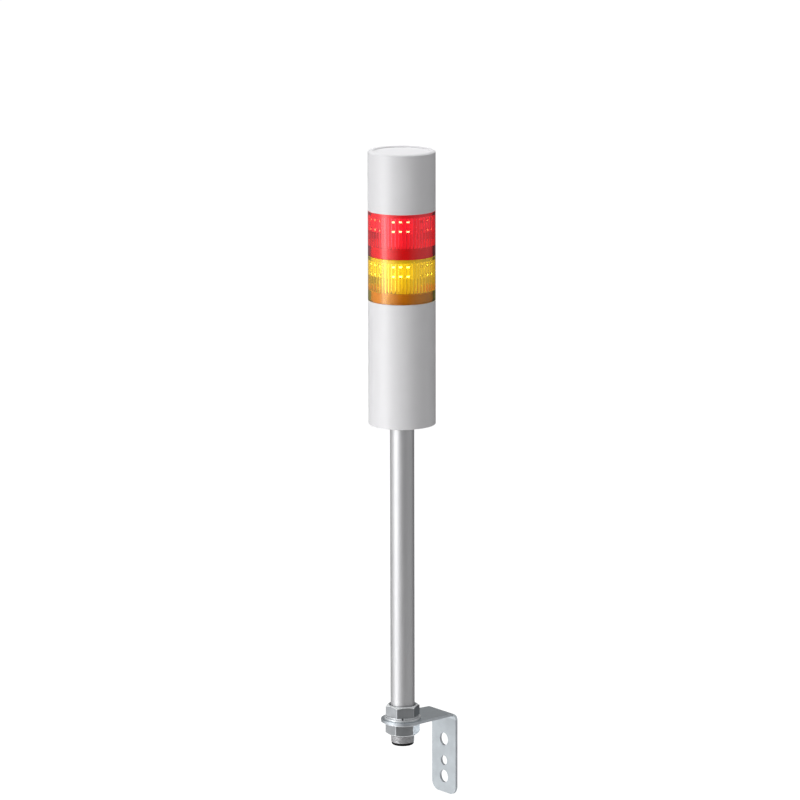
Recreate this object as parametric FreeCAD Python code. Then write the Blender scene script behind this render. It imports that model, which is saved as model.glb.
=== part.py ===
import FreeCAD, Part
import math
import os

# Stack light with two twist-on light units, red over amber, a sounder head, a tall lower body, and an
# aluminium pole clamped in a folded wall bracket. Millimetres and degrees.
# Origin: on the wall face of the bracket, midway between its two large screw holes.
# +Z runs up the pole, +Y goes into the wall and +X runs across the bracket.

# ---- Wall bracket, one folded steel strip ----
axis_to_wall = 50.0
sheet_thickness = 2.3
plate_width = 34.0
plate_drop = 78.0  # top of the arm to the lower edge of the plate
plate_corner_radius = 8.5
bend_radius = 7.0  # outside of the fold
arm_end_radius = 19.5  # rounded end of the arm, about the pole
wall_hole_radius = 5.8
wall_hole_drop = 28.0  # top of the arm to the upper large hole
wall_hole_spacing = 35.0
middle_hole_radius = 4.5
middle_hole_drop = 48.0

# ---- Pole, with a pipe thread (G 1/2) at its foot ----
pole_radius = 10.85
pole_wall = 2.5
thread_step = 0.4  # the thread's crests lie this far inside the plain pole
pole_below_arm = 21.5
pole_exposed_length = 293.0  # end of the pole to the underside of the body
pole_in_body = 27.0
thread_run_in = 0.4  # plain pole that stays inside the mouth of the upper nut

# ---- Clamp nuts and washers on the thread ----
nut_across_flats = 27.0
nut_height = 10.2
nut_face_ratio = 0.94  # chamfer circle on the end face, as a share of the width across flats
nut_chamfer_angle = 30.0
nut_turn = 2.0  # how far the nuts stop from square to the bracket, one each way
washer_radius = 16.5
washer_thickness = 1.7
lock_washer_radius = 14.6
lock_washer_thickness = 1.4
lock_washer_slit = 1.6
thread_clearance = 0.1
mouth_clearance = 0.35  # countersink of a nut round the plain pole
hole_clearance = 0.35  # washers and arm round the thread

# ---- Black end bush in the foot of the pole ----
bush_step = 0.45  # flange inside the thread's crests
bush_flange_height = 2.4
bush_edge_radius = 1.2
bush_plug_length = 9.0
bush_wall = 3.25  # round the hole for the leads
bush_fit = 0.1

# ---- Housing sizes shared by the body, the light units and the head ----
shell_radius = 30.0
shell_wall = 2.5
insert_fit = 0.2  # inner pieces inside a shell
body_height = 112.0
unit_height = 40.0
head_height = 52.0  # seam to the start of the rounded shoulder
foot_radius = 0.5  # lower edge of the body
seam_ease = 0.3  # chamfer on each shell's edge at a seam

# ---- Twist lock between one tier and the next ----
lug_count = 3
unlock_angle = 15.0
lug_half_angle = 7.0
lug_reach = 2.7
lug_height = 2.7
spigot_wall = 2.0
spigot_depth = 6.0
lock_clearance = 0.4  # round the spigot and past the lugs
lift_clearance = 0.3  # under the socket plate
stop_gap_angle = 1.0
stop_half_angle = 2.5
socket_plate_thickness = 2.4
track_depth = 4.4
track_wall = 1.6
gasket_thickness = 0.6
gasket_width = 3.0
gasket_inset = 0.8
board_thickness = 1.6
pin_count = 5
pin_radius = 0.8
pin_inset = 5.0  # centres of the pins, inside the spigot's bore
pin_head_height = 1.5
pin_gap = 0.3

# ---- Base of a light unit or of the head ----
base_height = 9.5
base_floor = 2.0
base_wall = 1.8

# ---- Light unit ----
flute_count = 56
flute_depth = 0.7
flute_phase = 1.5  # degrees
flute_stop = 0.3  # flutes end this far below the socket plate
drum_gap = 4.0  # drum to the lens, room for the LEDs
drum_height = 15.0
drum_wall = 3.3
drum_floor = 2.0
stem_step = 1.0  # stem inside the spigot's outside
stem_wall = 1.8
strip_count = 6
led_phase = -38.0
leds_across = 3  # side by side on each strip, in each row
led_pitch = 6.5
led_row_drops = (7.0, 15.5)  # below the top of the unit
led_flat_depth = 1.7
strip_width = 17.0
strip_height = 13.0
strip_thickness = 1.0
led_width = 3.2
led_height = 2.8
led_depth = 0.9
led_dome_radius = 1.25
led_dome_height = 0.9

# ---- Lower body ----
body_floor = 3.0
pad_height = 4.0
holder_flange_thickness = 3.0
holder_sleeve_wall = 3.65
holder_sleeve_height = 24.0  # above the flange
pole_fit = 0.1
grub_radius = 2.0
grub_height = 14.0  # above the holder's flange
screw_radius = 1.5
screw_head_radius = 2.8
screw_head_height = 1.8
screw_fit = 0.05
screw_head_gap = 0.3
holder_screw_length = 6.0
screw_count = 3
holder_screw_phase = 30.0
post_phase = 90.0
post_radius = 3.2
post_sink = 0.3  # into the wall of the body
post_height = 56.0
post_clearance = 0.5  # holder round the posts
post_screw_depth = 7.0
wire_hole_radius = 6.5
ledge_width = 2.5
ledge_height = 2.0
block_pitch = 5.0
block_ways = 6
block_width = 11.0
block_height = 10.0
block_way_radius = 1.6
block_way_depth = 7.0
block_offset = 12.4

# ---- Head ----
crest_inset = 4.0  # crest inside the shell
crest_rise = 1.5
lip_width = 1.4  # crest to the edge of the dish
dish_depth = 1.4
roof_thickness = 2.0
sounder_inset = 8.5  # disc inside the bore of the shell
sounder_thickness = 0.6
sounder_ring_wall = 2.5
sounder_ring_height = 8.0
sounder_fit = 0.2
coil_radius = 5.5
coil_height = 11.0
coil_offset = 12.0

# ---- Levels along the pole, from the wall holes up ----
arm_top = wall_hole_drop + wall_hole_spacing / 2
pole_bottom = arm_top - pole_below_arm
body_bottom = pole_bottom + pole_exposed_length
body_top = body_bottom + body_height
amber_top = body_top + unit_height
red_top = amber_top + unit_height
head_shoulder = red_top + head_height

# ---- Radii and depths that follow from the sizes above ----
pole_bore_radius = pole_radius - pole_wall
thread_radius = pole_radius - thread_step
bush_flange_radius = thread_radius - bush_step
bush_bore_radius = pole_bore_radius - bush_fit - bush_wall
shell_bore = shell_radius - shell_wall
insert_radius = shell_bore - insert_fit
drum_radius = shell_bore - drum_gap
drum_bore = drum_radius - drum_wall
flute_pitch = 360.0 / flute_count
socket_radius = drum_bore - lock_clearance
track_radius = socket_radius - track_wall
lug_radius = track_radius - lock_clearance
spigot_radius = lug_radius - lug_reach
stem_radius = spigot_radius - stem_step
pin_circle_radius = spigot_radius - spigot_wall - pin_inset
crest_radius = shell_radius - crest_inset
dish_radius = crest_radius - lip_width
sounder_radius = shell_bore - sounder_inset
holder_sleeve_radius = pole_radius + pole_fit + holder_sleeve_wall
plate_depth = gasket_thickness + socket_plate_thickness
holder_screw_circle = holder_sleeve_radius + screw_head_radius + screw_head_gap
holder_flange_radius = holder_screw_circle + screw_head_radius + screw_head_gap
post_circle = shell_bore + post_sink - post_radius
board_depth = plate_depth + track_depth

UP = FreeCAD.Vector(0, 0, 1)
CENTRE = FreeCAD.Vector(0, 0, 0)


def cylinder(radius, bottom, top):
    return Part.makeCylinder(radius, top - bottom, FreeCAD.Vector(0, 0, bottom))


def tube(outer, inner, bottom, top):
    return cylinder(outer, bottom, top).cut(cylinder(inner, bottom, top))


def cone(bottom_radius, top_radius, bottom, top):
    place = FreeCAD.Vector(0, 0, bottom)
    return Part.makeCone(bottom_radius, top_radius, top - bottom, place)


def turned(shape, degrees):
    copy = shape.copy()
    copy.rotate(CENTRE, UP, degrees)
    return copy


def moved(shape, x=0.0, y=0.0, z=0.0):
    copy = shape.copy()
    copy.translate(FreeCAD.Vector(x, y, z))
    return copy


def ring_of(shape, count, phase=0.0):
    """Copies of a shape, evenly spaced about the pole."""
    return [turned(shape, phase + 360.0 * i / count) for i in range(count)]


def sector(outer, inner, bottom, top, middle, half_angle):
    """A piece of a ring, centred on an angle."""
    place = FreeCAD.Vector(0, 0, bottom)
    full = Part.makeCylinder(outer, top - bottom, place, UP, 2 * half_angle)
    return turned(full, middle - half_angle).cut(cylinder(inner, bottom, top))


def joined(first, others):
    return first.fuse(others).removeSplitter()


def eased(shape, levels):
    """A shell with its outer edges chamfered at these levels."""
    rims = [e for e in shape.Edges if any(abs(e.BoundBox.ZMin - z) + abs(e.BoundBox.ZMax - z) < 0.01
                                          for z in levels)]
    return shape.makeChamfer(seam_ease, rims)


def box(length, width, bottom, top):
    """A box with its middle on the pole's axis: length along X, width along Y."""
    corner = FreeCAD.Vector(-length / 2, -width / 2, bottom)
    return Part.makeBox(length, width, top - bottom, corner)


# ---- Bracket ----
def bracket():
    """The folded strip: a rounded arm with the pole's hole, a bend, and the plate with its wall holes."""
    t, r = sheet_thickness, bend_radius
    plate_bottom = arm_top - plate_drop
    arm_tip = -axis_to_wall - arm_end_radius

    def point(y, z):
        return FreeCAD.Vector(-arm_end_radius, y, z)

    def bend_arc(radius):
        """Quarter of a circle about the centre of the fold, from the plate to the arm."""
        middle = radius * math.sqrt(0.5)
        return Part.Arc(point(radius - r, arm_top - r), point(middle - r, arm_top - r + middle),
                        point(-r, arm_top - r + radius)).toShape()

    edges = [
        Part.makeLine(point(0, plate_bottom), point(0, arm_top - r)),
        bend_arc(r),
        Part.makeLine(point(-r, arm_top), point(arm_tip, arm_top)),
        Part.makeLine(point(arm_tip, arm_top), point(arm_tip, arm_top - t)),
        Part.makeLine(point(arm_tip, arm_top - t), point(-r, arm_top - t)),
        bend_arc(r - t),
        Part.makeLine(point(-t, arm_top - r), point(-t, plate_bottom)),
        Part.makeLine(point(-t, plate_bottom), point(0, plate_bottom)),
    ]
    profile = Part.Face(Part.Wire(Part.__sortEdges__(edges)))
    strip = profile.extrude(FreeCAD.Vector(2 * arm_end_radius, 0, 0))

    # Outline of the arm from above: the round end, then sides that run tangent to it into the plate.
    reach = axis_to_wall - bend_radius
    half = plate_width / 2
    span = math.hypot(reach, half)
    lean = math.acos(arm_end_radius / span) - math.atan2(reach, half)
    touch_x = arm_end_radius * math.cos(lean)
    touch_y = -axis_to_wall - arm_end_radius * math.sin(lean)
    corners = [(half, -bend_radius), (touch_x, touch_y), (-touch_x, touch_y), (-half, -bend_radius)]
    points = [FreeCAD.Vector(x, y, arm_top - t) for x, y in corners]
    sides = Part.Face(Part.makePolygon(points + points[:1])).extrude(UP * t)
    round_end = Part.makeCylinder(arm_end_radius, t, FreeCAD.Vector(0, -axis_to_wall, arm_top - t))

    # Outline of the plate from the front: straight sides with rounded lower corners.
    blank = Part.makeBox(plate_width, bend_radius, plate_drop,
                         FreeCAD.Vector(-half, -bend_radius, plate_bottom))
    lower_corners = [e for e in blank.Edges
                     if abs(e.BoundBox.ZMax - plate_bottom) < 0.01 and e.BoundBox.XLength < 0.01]
    blank = blank.makeFillet(plate_corner_radius, lower_corners)
    folded = strip.common(joined(round_end, [sides, blank]))

    def wall_hole(radius, drop):
        place = FreeCAD.Vector(0, -bend_radius, arm_top - drop)
        return Part.makeCylinder(radius, bend_radius, place, FreeCAD.Vector(0, 1, 0))

    holes = [
        wall_hole(wall_hole_radius, wall_hole_drop),
        wall_hole(middle_hole_radius, middle_hole_drop),
        wall_hole(wall_hole_radius, wall_hole_drop + wall_hole_spacing),
        Part.makeCylinder(thread_radius + hole_clearance, t, FreeCAD.Vector(0, -axis_to_wall, arm_top - t)),
    ]
    return folded.cut(holes)


# ---- Clamp on the pole's thread ----
washer_top = arm_top + washer_thickness
upper_nut_bottom = washer_top + lock_washer_thickness
lower_nut_top = arm_top - sheet_thickness - washer_thickness


def nut(bottom, chamfer_up):
    """Hexagon nut: one face chamfered, the other flat against its washer."""
    corner = nut_across_flats / 2 / math.cos(math.radians(30))
    points = [FreeCAD.Vector(corner, 0, bottom)]
    points = [turned(Part.Vertex(points[0]), 60 * i).Point for i in range(6)]
    prism = Part.Face(Part.makePolygon(points + points[:1])).extrude(UP * nut_height)
    top = bottom + nut_height
    face_radius = nut_face_ratio * nut_across_flats / 2
    slope = math.tan(math.radians(nut_chamfer_angle))
    depth = (corner - face_radius) * slope
    mouth = pole_radius + mouth_clearance
    bore_radius = thread_radius + thread_clearance
    mouth_depth = mouth - bore_radius
    if chamfer_up:
        trim = cone(corner, face_radius, top - depth, top).fuse(cylinder(corner, bottom, top - depth))
    else:
        trim = cone(face_radius, corner, bottom, bottom + depth).fuse(cylinder(corner, bottom + depth, top))
    mouths = [
        cone(bore_radius, mouth, top - mouth_depth, top),
        cone(mouth, bore_radius, bottom, bottom + mouth_depth),
    ]
    if chamfer_up:
        mouths.append(cylinder(mouth, top - thread_run_in - mouth_clearance, top))
    body = prism.common(trim.removeSplitter())
    return turned(body.cut([cylinder(bore_radius, bottom, top)] + mouths), nut_turn if chamfer_up else -nut_turn)


def washer(bottom):
    return tube(washer_radius, thread_radius + hole_clearance, bottom, bottom + washer_thickness)


def lock_washer():
    """Split spring washer, pressed flat under the nut."""
    ring = tube(lock_washer_radius, thread_radius + hole_clearance, washer_top, upper_nut_bottom)
    slit = Part.makeBox(lock_washer_radius, lock_washer_slit, lock_washer_thickness,
                        FreeCAD.Vector(0, -lock_washer_slit / 2, washer_top))
    return ring.cut(turned(slit, led_phase))


def pole():
    """Aluminium tube, turned down at its foot for the thread."""
    shoulder = upper_nut_bottom + nut_height - thread_run_in
    plain = cylinder(pole_radius, shoulder, body_bottom + pole_in_body)
    threaded = cylinder(thread_radius, pole_bottom, shoulder)
    bore = cylinder(pole_bore_radius, pole_bottom, body_bottom + pole_in_body)
    return joined(plain, [threaded]).cut(bore)


def pole_bush():
    """Soft plug with a rounded flange and a hole for the leads."""
    flange = cylinder(bush_flange_radius, pole_bottom - bush_flange_height, pole_bottom)
    lower_rim = [e for e in flange.Edges if e.BoundBox.ZMax < pole_bottom - bush_flange_height / 2]
    flange = flange.makeFillet(bush_edge_radius, lower_rim)
    plug = cylinder(pole_bore_radius - bush_fit, pole_bottom, pole_bottom + bush_plug_length)
    hole = cylinder(bush_bore_radius, pole_bottom - bush_flange_height, pole_bottom + bush_plug_length)
    return joined(flange, [plug]).cut(hole)


# ---- Twist lock ----
def socket(top):
    """Plate that closes the top of a tier: a hole with entry notches, and a track with stops below it."""
    plate_top = top - gasket_thickness
    plate_bottom = top - plate_depth
    track_bottom = top - board_depth
    plate = tube(insert_radius, spigot_radius + lock_clearance, plate_bottom, plate_top)
    notch_half = lug_half_angle + stop_gap_angle
    notch = sector(track_radius, spigot_radius, plate_bottom, plate_top, unlock_angle, notch_half)
    track = tube(socket_radius, track_radius, track_bottom, plate_bottom)
    offset = lug_half_angle + stop_gap_angle + stop_half_angle
    stops = []
    for middle in (-offset, unlock_angle + offset):
        stop = sector(socket_radius, spigot_radius + lock_clearance, track_bottom, plate_bottom,
                      middle, stop_half_angle)
        stops += ring_of(stop, lug_count)
    return joined(plate.cut(ring_of(notch, lug_count)), [track] + stops)


def contact_board(top):
    """Round board under the socket, which the spring pins of the next tier press on."""
    level = top - board_depth
    return cylinder(socket_radius, level - board_thickness, level)


def base(seam):
    """Floor, skirt and lugged spigot of a light unit or the head."""
    floor_top = seam + base_floor
    floor = cylinder(insert_radius, seam, floor_top)
    skirt = tube(insert_radius, insert_radius - base_wall, floor_top, seam + base_height)
    spigot_bottom = seam - spigot_depth
    spigot = tube(spigot_radius, spigot_radius - spigot_wall, spigot_bottom, seam)
    lug_top = seam - plate_depth - lift_clearance
    lug = sector(lug_radius, spigot_radius - spigot_wall / 2, lug_top - lug_height, lug_top,
                 0, lug_half_angle)
    pin_hole = moved(cylinder(pin_radius, seam, floor_top), x=pin_circle_radius)
    return joined(floor, [skirt, spigot] + ring_of(lug, lug_count)).cut(ring_of(pin_hole, pin_count))


def contact_pins(seam):
    """Spring pins through the floor of the base, down to the board of the tier below."""
    pin = cylinder(pin_radius, seam - board_depth + pin_gap, seam + base_floor + pin_head_height)
    return Part.makeCompound(ring_of(moved(pin, x=pin_circle_radius), pin_count))


def gasket(seam):
    """Flat ring squeezed between the base and the socket plate below."""
    outer = insert_radius - gasket_inset
    return tube(outer, outer - gasket_width, seam - gasket_thickness, seam)


# ---- Light unit ----
def on_circle(radius, degrees, level):
    """A point at an angle round the tower's own axis."""
    angle = math.radians(degrees)
    return FreeCAD.Vector(radius * math.cos(angle), radius * math.sin(angle), level)


def lens(seam):
    """Clear coloured shell with upright round flutes inside, above the plain band round the base."""
    top = seam + unit_height
    flutes_bottom = seam + base_height
    flutes_top = top - plate_depth - flute_stop
    flutes = []
    for i in range(flute_count):
        start = flute_phase + i * flute_pitch
        foot = on_circle(shell_bore, start, flutes_bottom)
        crest = on_circle(shell_bore - flute_depth, start + flute_pitch / 2, flutes_bottom)
        next_start = flute_phase + (i + 1) % flute_count * flute_pitch
        flutes.append(Part.Arc(foot, crest, on_circle(shell_bore, next_start, flutes_bottom)).toShape())
    fluted_bore = Part.Face(Part.Wire(flutes)).extrude(UP * (flutes_top - flutes_bottom))
    shell = eased(cylinder(shell_radius, seam, top), (seam, top))
    shell = shell.cut(cylinder(shell_bore, seam, flutes_bottom))
    return shell.cut(cylinder(shell_bore, flutes_top, top)).cut(fluted_bore)


def flat_at(angle, distance, depth, width, bottom, top):
    """A box that stands on a flat of the drum, facing outwards."""
    block = Part.makeBox(depth, width, top - bottom, FreeCAD.Vector(distance, -width / 2, bottom))
    return turned(block, angle)


strip_angles = [led_phase + 360.0 * i / strip_count for i in range(strip_count)]
flat_distance = drum_radius - led_flat_depth
strip_face = flat_distance + strip_thickness


def led_carrier(seam):
    """White moulding: a hollow stem on the base, and a drum with a flat for each LED strip."""
    drum_top = seam + unit_height - plate_depth
    drum_bottom = drum_top - drum_height
    stem = tube(stem_radius, stem_radius - stem_wall, seam + base_floor, drum_bottom)
    web = tube(drum_radius, stem_radius - stem_wall, drum_bottom, drum_bottom + drum_floor)
    wall = tube(drum_radius, drum_bore, drum_bottom + drum_floor, drum_top)
    flats = [flat_at(a, flat_distance, 2 * led_flat_depth, 2 * drum_radius, drum_bottom, drum_top)
             for a in strip_angles]
    return joined(stem, [web, wall]).cut(flats)


def led_strips(seam):
    """One flat board on each flat of the drum."""
    middle = seam + unit_height - sum(led_row_drops) / len(led_row_drops)
    bottom, top = middle - strip_height / 2, middle + strip_height / 2
    return Part.makeCompound(
        [flat_at(a, flat_distance, strip_thickness, strip_width, bottom, top) for a in strip_angles])


def led_dome(level):
    """Clear cap of a sphere on the outer face of a package."""
    sphere_radius = (led_dome_radius ** 2 + led_dome_height ** 2) / (2 * led_dome_height)
    centre = FreeCAD.Vector(strip_face + led_depth + led_dome_height - sphere_radius, 0, level)
    from_angle = math.degrees(math.asin(1 - led_dome_height / sphere_radius))
    return Part.makeSphere(sphere_radius, centre, FreeCAD.Vector(1, 0, 0), from_angle, 90)


def leds(seam):
    """Square packages with a round dome, in rows on the strips."""
    pieces = []
    for drop in led_row_drops:
        level = seam + unit_height - drop
        package = flat_at(0, strip_face, led_depth, led_width,
                          level - led_height / 2, level + led_height / 2)
        led = joined(package, [led_dome(level)])
        for i in range(leds_across):
            across = FreeCAD.Vector(0, led_pitch * (i - (leds_across - 1) / 2), 0)
            pieces.extend(turned(led.translated(across), angle) for angle in strip_angles)
    return Part.makeCompound(pieces)


# ---- Lower body ----
pad_top = body_bottom + body_floor + pad_height
flange_top = pad_top + holder_flange_thickness
post_top = body_bottom + body_floor + post_height


def screws(circle, phase, seat, length):
    """Round-headed screws with their heads on a level, pointing down."""
    one = joined(cylinder(screw_head_radius, seat, seat + screw_head_height),
                 [cylinder(screw_radius, seat - length, seat)])
    return ring_of(moved(one, x=circle), screw_count, phase)


def screw_holes(circle, phase, bottom, top):
    hole = cylinder(screw_radius + screw_fit, bottom, top)
    return ring_of(moved(hole, x=circle), screw_count, phase)


def lower_body():
    """Cup with the pole's hole in its floor, posts for the board, and a ledge for the socket."""
    outside = eased(cylinder(shell_radius, body_bottom, body_top), (body_top,))
    foot = [e for e in outside.Edges if e.BoundBox.ZMax < body_bottom + 0.01]
    outside = outside.makeFillet(foot_radius, foot)
    floor_top = body_bottom + body_floor
    shell = outside.cut(cylinder(shell_bore, floor_top, body_top))
    pad = cylinder(holder_flange_radius, floor_top, pad_top)
    post = moved(cylinder(post_radius, floor_top, post_top), x=post_circle)
    inside = cylinder(shell_radius - shell_wall / 2, floor_top, post_top)
    posts = [p.common(inside) for p in ring_of(post, screw_count, post_phase)]
    ledge_top = body_top - plate_depth
    ledge = tube(shell_bore, shell_bore - ledge_width, ledge_top - ledge_height, ledge_top)
    holes = [cylinder(pole_radius + pole_fit, body_bottom, pad_top)]
    holes += screw_holes(holder_screw_circle, holder_screw_phase,
                         flange_top - holder_screw_length - screw_fit, pad_top)
    holes += screw_holes(post_circle, post_phase,
                         post_top + board_thickness - post_screw_depth - screw_fit, post_top)
    return joined(shell, [pad, ledge] + posts).cut(holes)


def pole_holder():
    """Flanged sleeve round the top of the pole, with two holes for the grub screws."""
    sleeve_top = flange_top + holder_sleeve_height
    flange = cylinder(holder_flange_radius, pad_top, flange_top)
    sleeve = cylinder(holder_sleeve_radius, flange_top, sleeve_top)
    holes = [cylinder(pole_radius + pole_fit, pad_top, sleeve_top)]
    holes += screw_holes(holder_screw_circle, holder_screw_phase, pad_top, flange_top)
    room = cylinder(post_radius + post_clearance, pad_top, flange_top)
    holes += ring_of(moved(room, x=post_circle), screw_count, post_phase)
    across = FreeCAD.Vector(-2 * holder_sleeve_radius, 0, flange_top + grub_height)
    holes.append(Part.makeCylinder(grub_radius + screw_fit, 4 * holder_sleeve_radius, across,
                                   FreeCAD.Vector(1, 0, 0)))
    return joined(flange, [sleeve]).cut(holes)


def grub_screws():
    """Two screws that press on the pole from opposite sides."""
    start = pole_radius + pole_fit
    place = FreeCAD.Vector(start, 0, flange_top + grub_height)
    one = Part.makeCylinder(grub_radius, holder_sleeve_radius - start, place, FreeCAD.Vector(1, 0, 0))
    return Part.makeCompound(ring_of(one, 2))


def terminal_board():
    """Round board on the posts, with a hole for the leads from the pole."""
    board = tube(insert_radius, wire_hole_radius, post_top, post_top + board_thickness)
    return board.cut(screw_holes(post_circle, post_phase, post_top, post_top + board_thickness))


def terminal_block():
    """Screw terminals in one row: a wire entry in the side and a screw well above it for each way."""
    bottom = post_top + board_thickness
    block = box(block_pitch * block_ways, block_width, bottom, bottom + block_height)
    wells = []
    for i in range(block_ways):
        x = block_pitch * (i - (block_ways - 1) / 2)
        entry = FreeCAD.Vector(x, -block_width / 2, bottom + block_height / 3)
        wells.append(Part.makeCylinder(block_way_radius, block_way_depth, entry, FreeCAD.Vector(0, 1, 0)))
        wells.append(moved(cylinder(block_way_radius, bottom + block_height / 2, bottom + block_height), x=x))
    return moved(block.cut(wells), y=-block_offset)


# ---- Head ----
roof_bottom = head_shoulder + crest_rise - dish_depth - roof_thickness


def head_cover():
    """Tall cap: straight side, rounded shoulder, low crest and a shallow dish."""
    crest = head_shoulder + crest_rise
    dish = crest - dish_depth

    def point(radius, level):
        return FreeCAD.Vector(radius, 0, level)

    width = shell_radius - crest_radius
    shoulder_middle = point(shell_radius - width * (1 - math.sqrt(0.5)), head_shoulder
                            + crest_rise * math.sqrt(0.5))
    lip = crest_radius - dish_radius
    lip_middle = point(crest_radius - lip * math.sqrt(0.5), crest - dish_depth * (1 - math.sqrt(0.5)))
    edges = [
        Part.makeLine(point(shell_bore, red_top), point(shell_radius - seam_ease, red_top)),
        Part.makeLine(point(shell_radius - seam_ease, red_top), point(shell_radius, red_top + seam_ease)),
        Part.makeLine(point(shell_radius, red_top + seam_ease), point(shell_radius, head_shoulder)),
        Part.Arc(point(shell_radius, head_shoulder), shoulder_middle, point(crest_radius, crest)).toShape(),
        Part.Arc(point(crest_radius, crest), lip_middle, point(dish_radius, dish)).toShape(),
        Part.makeLine(point(dish_radius, dish), point(0, dish)),
        Part.makeLine(point(0, dish), point(0, roof_bottom)),
        Part.makeLine(point(0, roof_bottom), point(shell_bore, roof_bottom)),
        Part.makeLine(point(shell_bore, roof_bottom), point(shell_bore, red_top)),
    ]
    return Part.Face(Part.Wire(edges)).revolve(CENTRE, UP, 360)


def sounder_disc():
    """Thin metal disc bonded under the roof, which sounds through it."""
    return cylinder(sounder_radius, roof_bottom - sounder_thickness, roof_bottom)


def sounder_ring():
    """Ring that holds the disc and gives it its air space."""
    inner = sounder_radius + sounder_fit
    return tube(inner + sounder_ring_wall, inner, roof_bottom - sounder_ring_height, roof_bottom)


def sounder_board():
    """Round board on the rim of the head's base."""
    level = red_top + base_height
    return cylinder(insert_radius, level, level + board_thickness)


def sounder_coil():
    """Step-up coil on the board."""
    level = red_top + base_height + board_thickness
    return moved(cylinder(coil_radius, level, level + coil_height), x=coil_offset)


# ---- All pieces: those about the pole first, then the bracket, which is drawn in place ----
pieces = {
    "pole_bush": pole_bush(),
    "pole": pole(),
    "lower_nut": nut(lower_nut_top - nut_height, chamfer_up=False),
    "lower_washer": washer(lower_nut_top),
    "upper_washer": washer(arm_top),
    "lock_washer": lock_washer(),
    "upper_nut": nut(upper_nut_bottom, chamfer_up=True),
    "lower_body": lower_body(),
    "pole_holder": pole_holder(),
    "holder_screws": Part.makeCompound(
        screws(holder_screw_circle, holder_screw_phase, flange_top, holder_screw_length)),
    "grub_screws": grub_screws(),
    "terminal_board": terminal_board(),
    "terminal_block": terminal_block(),
    "board_screws": Part.makeCompound(
        screws(post_circle, post_phase, post_top + board_thickness, post_screw_depth)),
    "body_socket": socket(body_top),
    "body_contact_board": contact_board(body_top),
    "head_base": base(red_top),
    "head_gasket": gasket(red_top),
    "head_pins": contact_pins(red_top),
    "head_cover": head_cover(),
    "sounder_disc": sounder_disc(),
    "sounder_ring": sounder_ring(),
    "sounder_board": sounder_board(),
    "sounder_coil": sounder_coil(),
}
for colour, seam in (("amber", body_top), ("red", amber_top)):
    pieces[colour + "_base"] = base(seam)
    pieces[colour + "_gasket"] = gasket(seam)
    pieces[colour + "_pins"] = contact_pins(seam)
    pieces[colour + "_lens"] = lens(seam)
    pieces[colour + "_led_carrier"] = led_carrier(seam)
    pieces[colour + "_led_strips"] = led_strips(seam)
    pieces[colour + "_leds"] = leds(seam)
    pieces[colour + "_socket"] = socket(seam + unit_height)
    pieces[colour + "_contact_board"] = contact_board(seam + unit_height)
pieces = {name: moved(shape, y=-axis_to_wall) for name, shape in pieces.items()}
pieces["bracket"] = bracket()

os.makedirs("parts", exist_ok=True)
for name, shape in pieces.items():
    if not shape.isValid() or not shape.Solids:
        raise RuntimeError("not a valid solid: " + name)
    shape.exportStep("parts/" + name + ".step")
    print(name, len(shape.Solids), "solids", round(shape.Volume, 1), "mm3")
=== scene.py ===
import bmesh
import bpy
import math
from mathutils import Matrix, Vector


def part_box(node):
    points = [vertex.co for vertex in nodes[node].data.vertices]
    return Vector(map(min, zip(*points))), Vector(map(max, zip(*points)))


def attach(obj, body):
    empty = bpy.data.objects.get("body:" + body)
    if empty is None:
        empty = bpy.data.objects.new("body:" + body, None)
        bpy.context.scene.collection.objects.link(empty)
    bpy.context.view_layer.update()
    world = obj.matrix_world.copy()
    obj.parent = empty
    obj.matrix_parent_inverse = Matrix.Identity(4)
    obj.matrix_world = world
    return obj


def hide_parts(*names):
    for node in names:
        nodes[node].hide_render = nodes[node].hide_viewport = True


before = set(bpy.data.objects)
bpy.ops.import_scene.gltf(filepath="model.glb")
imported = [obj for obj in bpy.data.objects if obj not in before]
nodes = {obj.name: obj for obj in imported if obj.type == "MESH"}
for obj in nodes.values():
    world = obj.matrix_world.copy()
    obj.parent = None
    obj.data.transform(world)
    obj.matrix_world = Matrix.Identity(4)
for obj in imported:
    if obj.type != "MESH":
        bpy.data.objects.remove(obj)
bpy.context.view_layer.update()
bpy.context.scene.view_settings.view_transform = "Standard"
mm = 0.001


# ---- Wall bracket ----
# One strip of 2.3 mm steel, cut to its outline, folded once and zinc plated. The long leg screws to the
# wall through three holes, and the short leg is the arm that the pole is clamped in.
def begin(add, name, **settings):
    """Starts a piece from one primitive, in edit mode, with nothing else selected."""
    bpy.ops.object.select_all(action="DESELECT")
    add(**settings)
    piece = bpy.context.object
    piece.name = piece.data.name = name
    bpy.ops.object.mode_set(mode="EDIT")
    bpy.ops.mesh.select_mode(type="VERT")
    bpy.ops.mesh.select_all(action="SELECT")
    return piece


def where(item):
    """Place of a vertex, or of the middle of an edge or a face, in the frame of the whole light."""
    points = [item.co] if isinstance(item, bmesh.types.BMVert) else [v.co for v in item.verts]
    return bpy.context.edit_object.matrix_world @ (sum(points, Vector()) / len(points))


def pick(kind, test):
    """Selects those vertices, edges or faces of the open mesh whose place passes a test."""
    bpy.ops.mesh.select_mode(type=kind)
    bpy.ops.mesh.select_all(action="DESELECT")
    mesh = bmesh.from_edit_mesh(bpy.context.edit_object.data)
    for item in {"VERT": mesh.verts, "EDGE": mesh.edges, "FACE": mesh.faces}[kind]:
        item.select_set(bool(test(where(item))))
    mesh.select_flush_mode()
    bmesh.update_edit_mesh(bpy.context.edit_object.data)


def coat(piece, slot, test):
    """Puts the finish of one slot on the faces whose place passes a test. The mesh is open."""
    pick("FACE", test)
    piece.active_material_index = slot
    bpy.ops.object.material_slot_assign()


def pick_up(piece):
    """Opens the mesh of a piece again, with all of it selected."""
    bpy.context.view_layer.objects.active = piece
    bpy.ops.object.mode_set(mode="EDIT")
    bpy.ops.mesh.select_all(action="SELECT")


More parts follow.
